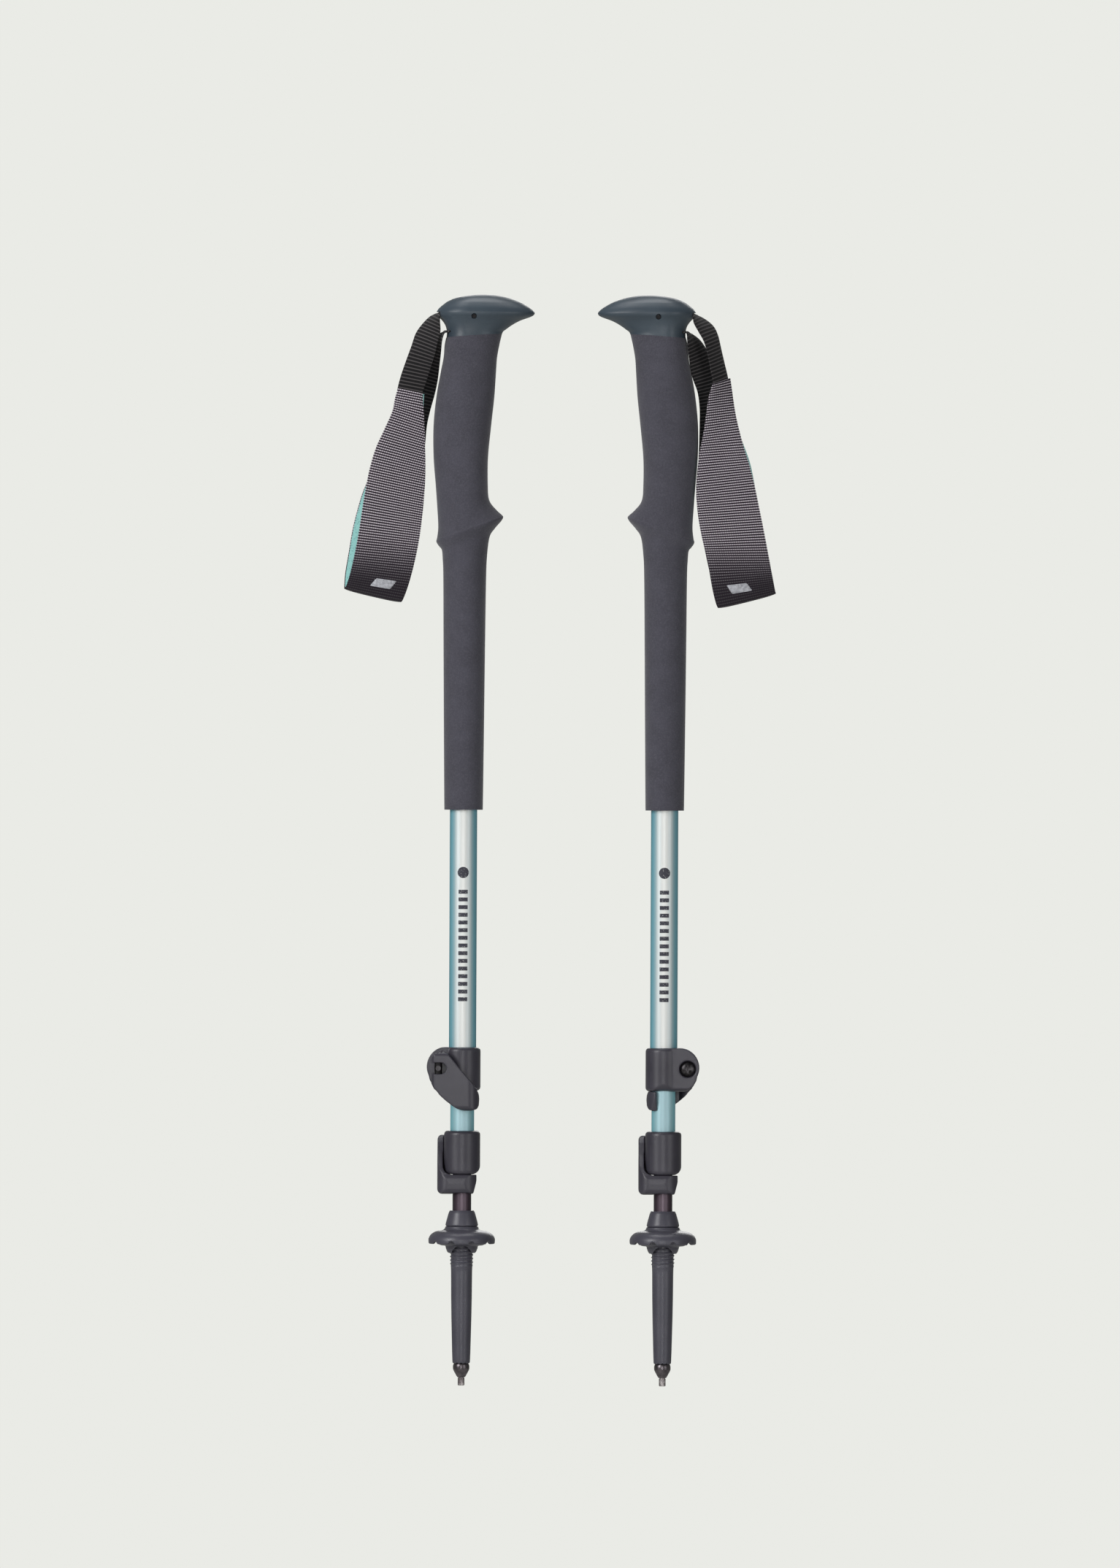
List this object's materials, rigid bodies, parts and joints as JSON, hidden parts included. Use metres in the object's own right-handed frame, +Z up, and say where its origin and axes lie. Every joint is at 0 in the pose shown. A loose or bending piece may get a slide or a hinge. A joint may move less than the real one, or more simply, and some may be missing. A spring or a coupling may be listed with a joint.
{
  "type": "trekking pole pair",
  "caption": "Collapsible trekking poles with foam grips, wrist straps, cam-lever locks, threaded baskets and carbide tips.",
  "frame": {"origin": "end of the left pole's carbide tip, on the pole's axis", "axes": "+Z up along the poles, +X from the left pole to the right one, -Y towards the viewer who sees both upper locks from the side"},
  "size_m": [0.2548, 0.0405, 0.64],
  "materials": {
    "head": "fine satin, moulded",
    "foam": "matt closed-cell foam",
    "lock_plastic": "moulded, fine texture",
    "tip_plastic": "moulded, fine texture",
    "upper_tube": "anodised, satin",
    "mid_tube": "anodised, satin",
    "lower_tube": "anodised, satin",
    "webbing": "ribbed webbing",
    "band": "striped ribbed webbing",
    "lining": "soft knit",
    "reflective": "reflective film",
    "steel": "plain",
    "dark_steel": "blackened",
    "carbide": "ground",
    "guide": "plain"
  },
  "bodies": {
    "left_grip": {"left_grip_head": "head", "left_grip_foam": "foam", "left_strap_pin": "steel", "left_strap_wedge": "lock_plastic", "left_strap_tail": "webbing", "left_upper_tube": "upper_tube", "left_upper_collar": "lock_plastic", "left_upper_barrel_nut": "dark_steel"},
    "left_strap": {"left_strap_webbing": "webbing", "left_strap_band": "band", "left_strap_lining": "lining", "left_strap_patch": "reflective"},
    "left_upper_lever": {"left_upper_lever": "lock_plastic"},
    "left_upper_screw": {"left_upper_screw": "dark_steel"},
    "left_mid_guide": {"left_mid_guide": "guide"},
    "left_mid_section": {"left_mid_tube": "mid_tube", "left_lower_collar": "lock_plastic", "left_lower_barrel_nut": "dark_steel"},
    "left_lower_lever": {"left_lower_lever": "lock_plastic"},
    "left_lower_screw": {"left_lower_screw": "dark_steel"},
    "left_lower_guide": {"left_lower_guide": "guide"},
    "left_lower_section": {"left_lower_tube": "lower_tube", "left_tip_body": "tip_plastic", "left_tip_ferrule": "dark_steel", "left_carbide_tip": "carbide"},
    "left_basket": {"left_basket": "tip_plastic"},
    "right_grip": {"right_grip_head": "head", "right_grip_foam": "foam", "right_strap_pin": "steel", "right_strap_wedge": "lock_plastic", "right_strap_tail": "webbing", "right_upper_tube": "upper_tube", "right_upper_collar": "lock_plastic", "right_upper_barrel_nut": "dark_steel"},
    "right_strap": {"right_strap_webbing": "webbing", "right_strap_band": "band", "right_strap_lining": "lining", "right_strap_patch": "reflective"},
    "right_upper_lever": {"right_upper_lever": "lock_plastic"},
    "right_upper_screw": {"right_upper_screw": "dark_steel"},
    "right_mid_guide": {"right_mid_guide": "guide"},
    "right_mid_section": {"right_mid_tube": "mid_tube", "right_lower_collar": "lock_plastic", "right_lower_barrel_nut": "dark_steel"},
    "right_lower_lever": {"right_lower_lever": "lock_plastic"},
    "right_lower_screw": {"right_lower_screw": "dark_steel"},
    "right_lower_guide": {"right_lower_guide": "guide"},
    "right_lower_section": {"right_lower_tube": "lower_tube", "right_tip_body": "tip_plastic", "right_tip_ferrule": "dark_steel", "right_carbide_tip": "carbide"},
    "right_basket": {"right_basket": "tip_plastic"}
  },
  "joints": [
    {"name": "left_strap_swing", "type": "hinge", "parent": "left_grip", "child": "left_strap", "pos_m": [-0.0175, 0, 0.6275], "axis": [0, 1, 0], "range_deg": [0, 90]},
    {"name": "left_upper_lever_open", "type": "hinge", "parent": "left_grip", "child": "left_upper_lever", "pos_m": [-0.0141, -0.0112, 0.1862], "axis": [0, 0, -1], "range_deg": [0, 105]},
    {"name": "left_upper_screw_turn", "type": "hinge", "parent": "left_grip", "child": "left_upper_screw", "pos_m": [-0.0141, 0, 0.1862], "axis": [0, 1, 0], "continuous": true},
    {"name": "left_mid_slide", "type": "slide", "parent": "left_grip", "child": "left_mid_guide", "axis": [0, 0, -1], "range_m": [0, 0.305]},
    {"name": "left_mid_swivel", "type": "hinge", "parent": "left_mid_guide", "child": "left_mid_section", "pos_m": [0, 0, 0.35], "axis": [0, 0, 1], "continuous": true},
    {"name": "left_lower_lever_open", "type": "hinge", "parent": "left_mid_section", "child": "left_lower_lever", "pos_m": [-0.0112, 0.0141, 0.1372], "axis": [0, 0, -1], "range_deg": [0, 105]},
    {"name": "left_lower_screw_turn", "type": "hinge", "parent": "left_mid_section", "child": "left_lower_screw", "pos_m": [0, 0.0141, 0.1372], "axis": [1, 0, 0], "continuous": true},
    {"name": "left_lower_slide", "type": "slide", "parent": "left_mid_section", "child": "left_lower_guide", "axis": [0, 0, -1], "range_m": [0, 0.305]},
    {"name": "left_lower_swivel", "type": "hinge", "parent": "left_lower_guide", "child": "left_lower_section", "pos_m": [0, 0, 0.3], "axis": [0, 0, 1], "continuous": true},
    {"name": "left_basket_off", "type": "slide", "parent": "left_lower_section", "child": "left_basket", "axis": [0, 0, -1], "range_m": [0, 0.1]},
    {"name": "right_pole_apart", "type": "slide", "parent": "left_grip", "child": "right_grip", "axis": [1, 0, 0], "range_m": [0, 0.3]},
    {"name": "right_strap_swing", "type": "hinge", "parent": "right_grip", "child": "right_strap", "pos_m": [0.1355, 0, 0.6275], "axis": [0, -1, 0], "range_deg": [0, 90]},
    {"name": "right_upper_lever_open", "type": "hinge", "parent": "right_grip", "child": "right_upper_lever", "pos_m": [0.1321, 0.0112, 0.1862], "axis": [0, 0, -1], "range_deg": [0, 105]},
    {"name": "right_upper_screw_turn", "type": "hinge", "parent": "right_grip", "child": "right_upper_screw", "pos_m": [0.1321, 0, 0.1862], "axis": [0, -1, 0], "continuous": true},
    {"name": "right_mid_slide", "type": "slide", "parent": "right_grip", "child": "right_mid_guide", "axis": [0, 0, -1], "range_m": [0, 0.305]},
    {"name": "right_mid_swivel", "type": "hinge", "parent": "right_mid_guide", "child": "right_mid_section", "pos_m": [0.118, 0, 0.35], "axis": [0, 0, 1], "continuous": true},
    {"name": "right_lower_lever_open", "type": "hinge", "parent": "right_mid_section", "child": "right_lower_lever", "pos_m": [0.1068, 0.0141, 0.1372], "axis": [0, 0, -1], "range_deg": [0, 105]},
    {"name": "right_lower_screw_turn", "type": "hinge", "parent": "right_mid_section", "child": "right_lower_screw", "pos_m": [0.118, 0.0141, 0.1372], "axis": [1, 0, 0], "continuous": true},
    {"name": "right_lower_slide", "type": "slide", "parent": "right_mid_section", "child": "right_lower_guide", "axis": [0, 0, -1], "range_m": [0, 0.305]},
    {"name": "right_lower_swivel", "type": "hinge", "parent": "right_lower_guide", "child": "right_lower_section", "pos_m": [0.118, 0, 0.3], "axis": [0, 0, 1], "continuous": true},
    {"name": "right_basket_off", "type": "slide", "parent": "right_lower_section", "child": "right_basket", "axis": [0, 0, -1], "range_m": [0, 0.1]}
  ]
}
